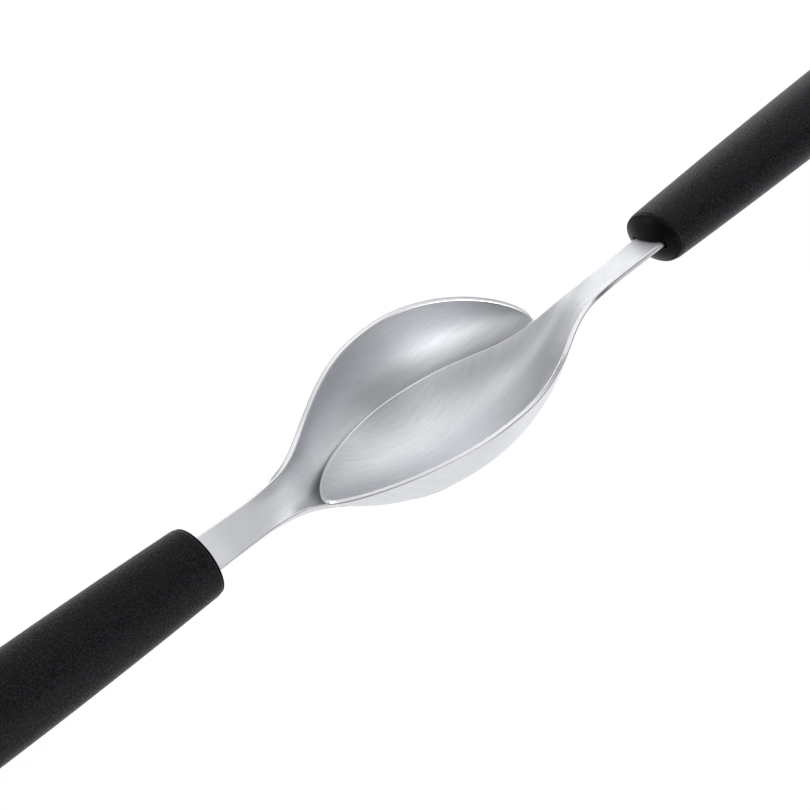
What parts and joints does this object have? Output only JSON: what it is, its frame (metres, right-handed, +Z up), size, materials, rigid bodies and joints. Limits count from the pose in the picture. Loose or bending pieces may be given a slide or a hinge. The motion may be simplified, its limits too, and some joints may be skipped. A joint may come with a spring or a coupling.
{
  "type": "quenelle spoon",
  "caption": "Nested pair of quenelle spoons: deep pointed satin steel bowls on raised flat necks, with rounded grained black handles, facing opposite ways.",
  "frame": {"origin": "on the surface that the pair stands on, below the middle of the two nested bowls", "axes": "+X along the spoons, from the lower spoon's handle to the upper spoon's handle; +Z up, out of the bowls"},
  "size_m": [0.3936, 0.0496, 0.0358],
  "materials": {
    "steel": "satin, brushed lengthwise",
    "core": "smooth moulded",
    "grip": "fine moulded grain"
  },
  "bodies": {
    "lower_spoon": {"lower_spoon_blade": "steel", "lower_spoon_handle_core": "core", "lower_spoon_grip": "grip"},
    "upper_spoon": {"upper_spoon_blade": "steel", "upper_spoon_handle_core": "core", "upper_spoon_grip": "grip"}
  },
  "joints": [
    {"name": "upper_spoon_lift", "type": "slide", "parent": "lower_spoon", "child": "upper_spoon", "axis": [0, 0, 1], "range_m": [0, 0.06]}
  ]
}
